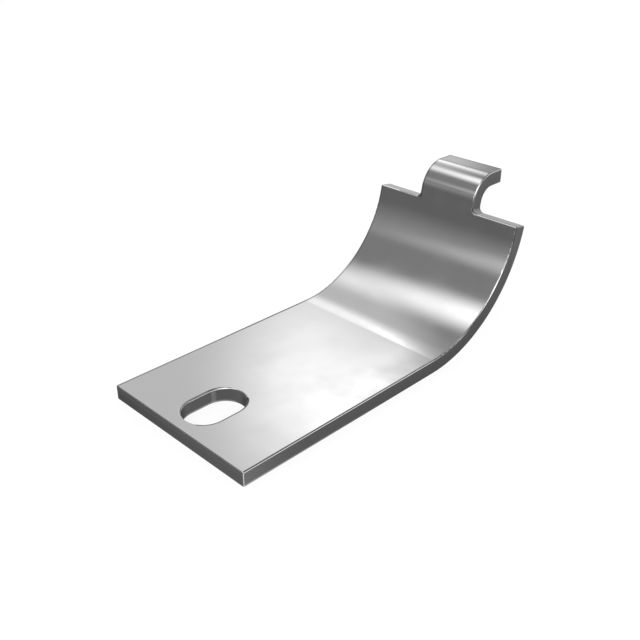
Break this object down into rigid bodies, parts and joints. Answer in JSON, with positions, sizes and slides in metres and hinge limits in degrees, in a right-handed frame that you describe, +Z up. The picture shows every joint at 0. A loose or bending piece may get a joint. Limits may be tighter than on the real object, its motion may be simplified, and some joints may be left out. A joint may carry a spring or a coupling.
{
  "type": "tube clip",
  "caption": "Bent steel sheet clip: a flat foot with a screw slot, a wide cradle that curves up around a tube, and a narrow hook tab.",
  "frame": {"origin": "middle of the screw slot, on the underside of the flat foot", "axes": "+X across the clip, +Y along it from the slotted end towards the cradle and hook, +Z up from the surface that it is screwed to, towards the screw head"},
  "size_m": [0.035, 0.0805, 0.03],
  "materials": {
    "steel_sheet": "bare rolled steel sheet with a smooth semi-bright skin and tumbled edges"
  },
  "bodies": {
    "root": {"tube_clip": "steel_sheet"}
  },
  "joints": []
}
